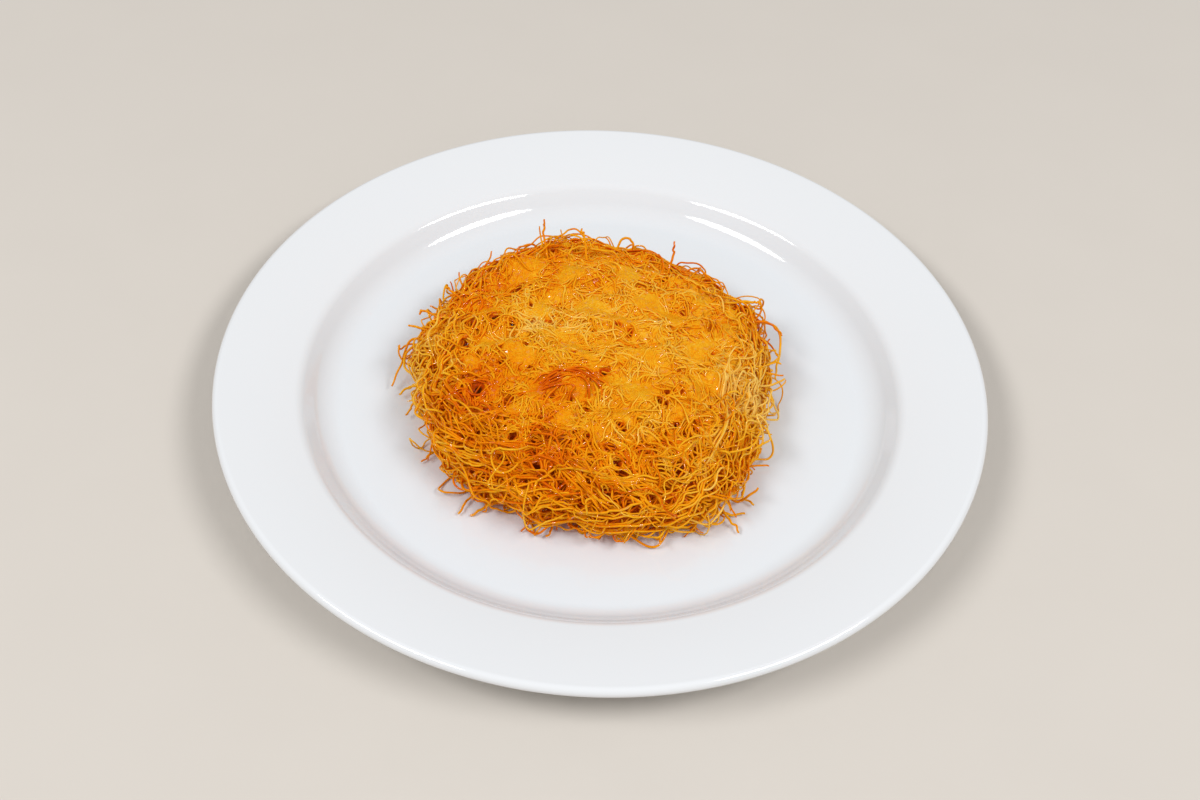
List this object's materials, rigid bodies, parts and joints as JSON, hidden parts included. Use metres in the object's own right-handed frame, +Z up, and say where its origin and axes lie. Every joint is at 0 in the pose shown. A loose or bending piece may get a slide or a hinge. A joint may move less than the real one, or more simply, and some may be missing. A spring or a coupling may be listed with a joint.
{
  "type": "kataifi nest on a plate",
  "caption": "Low round cushion of crisp golden pastry threads with a lacy edge and loose ends, resting in the well of a white rimmed porcelain plate.",
  "frame": {"origin": "centre of the plate's foot ring, on the surface that it stands on", "axes": "+Z up; -Y towards the side that the picture was taken from, +X to its right"},
  "size_m": [0.26, 0.26, 0.0389],
  "materials": {
    "white_glaze": "smooth white glaze, glossy",
    "crisp_threads": "golden to orange-brown fried pastry threads with a light oily sheen"
  },
  "bodies": {
    "root": {"plate": "white_glaze", "kataifi_nest": "crisp_threads"}
  },
  "joints": []
}
